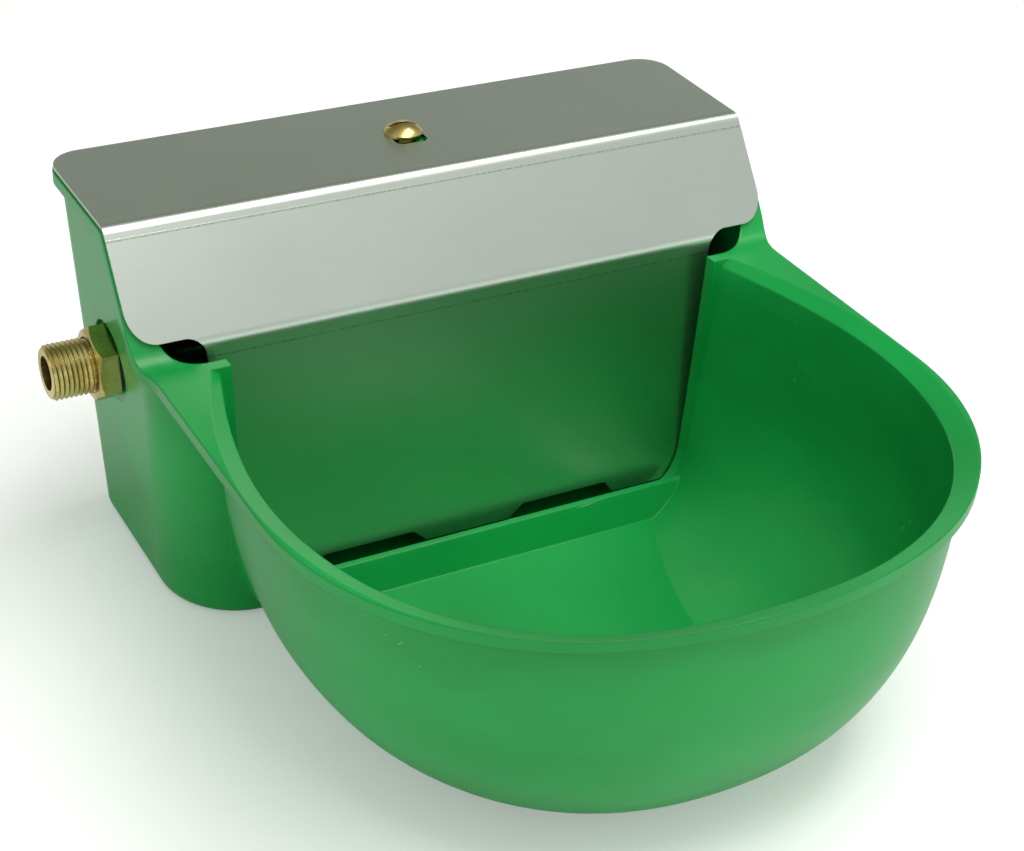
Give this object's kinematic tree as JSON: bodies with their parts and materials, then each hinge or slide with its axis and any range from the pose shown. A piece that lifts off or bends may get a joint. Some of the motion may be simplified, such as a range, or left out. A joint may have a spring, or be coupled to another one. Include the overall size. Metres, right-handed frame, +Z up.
{
  "type": "livestock drinking bowl",
  "caption": "Wall-hung moulded drinking bowl with a float valve box behind it, a side water inlet and a bent sheet cover held by a screw.",
  "frame": {"origin": "middle of the float box's flat underside", "axes": "+Z up; +Y towards the wall; -Y towards the drinking bowl; -X out of the water inlet"},
  "size_m": [0.2781, 0.303, 0.1564],
  "materials": {
    "green_plastic": "satin moulded",
    "stainless_sheet": "brushed sheet",
    "brass": "turned, bare",
    "black_rubber": "matte",
    "white_plastic": "moulded acetal",
    "stainless_wire": "drawn",
    "float_plastic": "moulded"
  },
  "bodies": {
    "bowl": {"body_shell": "green_plastic", "screw_insert": "brass", "valve_body": "brass", "back_nut": "brass", "outer_gasket": "black_rubber", "inner_gasket": "black_rubber", "valve_nozzle": "white_plastic", "pivot_pin": "stainless_wire", "split_pin": "stainless_wire"},
    "piston": {"plunger": "white_plastic", "seat_disc": "black_rubber"},
    "lever": {"lever_arm": "brass", "level_screw": "stainless_wire", "wing_nut": "brass"},
    "float": {"rod_holder": "brass", "float_rod": "brass", "rod_nut": "brass", "float_bush": "brass", "float_shell": "float_plastic", "float_lid": "float_plastic"},
    "lid": {"cover": "stainless_sheet"},
    "lid_screw": {"cover_screw": "brass"}
  },
  "joints": [
    {"name": "lever_swing", "type": "hinge", "parent": "bowl", "child": "lever", "pos_m": [-0.06204, 0.0073, 0.073], "axis": [0, -1, 0], "range_deg": [0, 24]},
    {"name": "plunger_slide", "type": "slide", "parent": "bowl", "child": "piston", "axis": [-1, 0, 0], "range_m": [0, 0.00582]},
    {"name": "level_set", "type": "hinge", "parent": "lever", "child": "float", "pos_m": [-0.02927, 0.0073, 0.05006], "axis": [0, -1, 0], "range_deg": [0, 8]},
    {"name": "cover_lift", "type": "slide", "parent": "bowl", "child": "lid", "axis": [0, 0, 1], "range_m": [0, 0.12]},
    {"name": "screw_withdraw", "type": "slide", "parent": "lid", "child": "lid_screw", "axis": [0, 0, 1], "range_m": [0, 0.026]}
  ],
  "couplings": [
    {"joint": "plunger_slide", "follows": "lever_swing", "m_per_rad": 0.013898}
  ]
}
